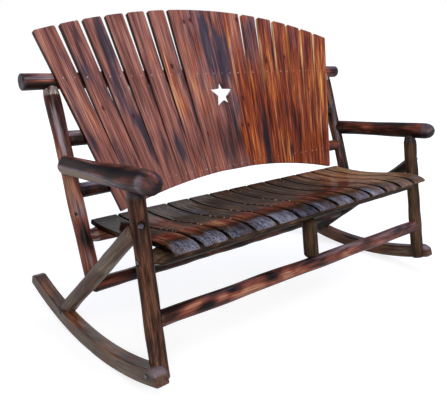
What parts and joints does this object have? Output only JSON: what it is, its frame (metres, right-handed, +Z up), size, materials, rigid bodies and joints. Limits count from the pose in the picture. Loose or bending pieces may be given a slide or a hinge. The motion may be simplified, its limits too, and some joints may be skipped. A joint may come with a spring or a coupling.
{
  "type": "rocking bench",
  "caption": "Log rocking bench with a fanned board back pierced by a star, a dipped slatted seat, round arms and curved rockers.",
  "frame": {"origin": "middle of the bench on the floor, under the middle of its bounding box", "axes": "+X along the bench towards the sitter's left hand, -Y out of its front, +Z up"},
  "size_m": [1.42, 0.769, 0.9935],
  "materials": {
    "charred_log": "scorched and lacquered",
    "arm_log": "scorched and lacquered",
    "plain_timber": "light stain, satin",
    "back_board": "scorched, brushed and lacquered",
    "seat_slat": "scorched and lacquered",
    "bolt_steel": "zinc plated"
  },
  "bodies": {
    "root": {"front_leg_left": "charred_log", "rear_post_left": "charred_log", "arm_left": "arm_log", "rocker_left": "plain_timber", "brace_left": "plain_timber", "brace_bolt_left": "bolt_steel", "seat_rail_bolt_left": "bolt_steel", "arm_bolt_left": "bolt_steel", "rocker_leg_screw_left": "bolt_steel", "rocker_brace_screw_left": "bolt_steel", "back_board_left_1": "back_board", "back_board_left_2": "back_board", "back_board_left_3": "back_board", "back_board_left_4": "back_board", "back_board_left_5": "back_board", "back_board_left_6": "back_board", "back_board_left_7": "back_board", "back_board_left_8": "back_board", "front_leg_right": "charred_log", "rear_post_right": "charred_log", "arm_right": "arm_log", "rocker_right": "plain_timber", "brace_right": "plain_timber", "brace_bolt_right": "bolt_steel", "seat_rail_bolt_right": "bolt_steel", "arm_bolt_right": "bolt_steel", "rocker_leg_screw_right": "bolt_steel", "rocker_brace_screw_right": "bolt_steel", "back_board_right_1": "back_board", "back_board_right_2": "back_board", "back_board_right_3": "back_board", "back_board_right_4": "back_board", "back_board_right_5": "back_board", "back_board_right_6": "back_board", "back_board_right_7": "back_board", "back_board_right_8": "back_board", "top_rail": "charred_log", "middle_back_rail": "charred_log", "lower_back_rail": "charred_log", "rear_seat_rail": "charred_log", "front_seat_rail": "charred_log", "front_stretcher": "charred_log", "rear_stretcher": "charred_log", "centre_post": "charred_log", "seat_slat_01": "seat_slat", "seat_slat_02": "seat_slat", "seat_slat_03": "seat_slat", "seat_slat_04": "seat_slat", "seat_slat_05": "seat_slat", "seat_slat_06": "seat_slat", "seat_slat_07": "seat_slat", "seat_slat_08": "seat_slat", "seat_slat_09": "seat_slat", "seat_slat_10": "seat_slat", "seat_slat_11": "seat_slat", "seat_slat_12": "seat_slat", "seat_slat_13": "seat_slat"}
  },
  "joints": []
}
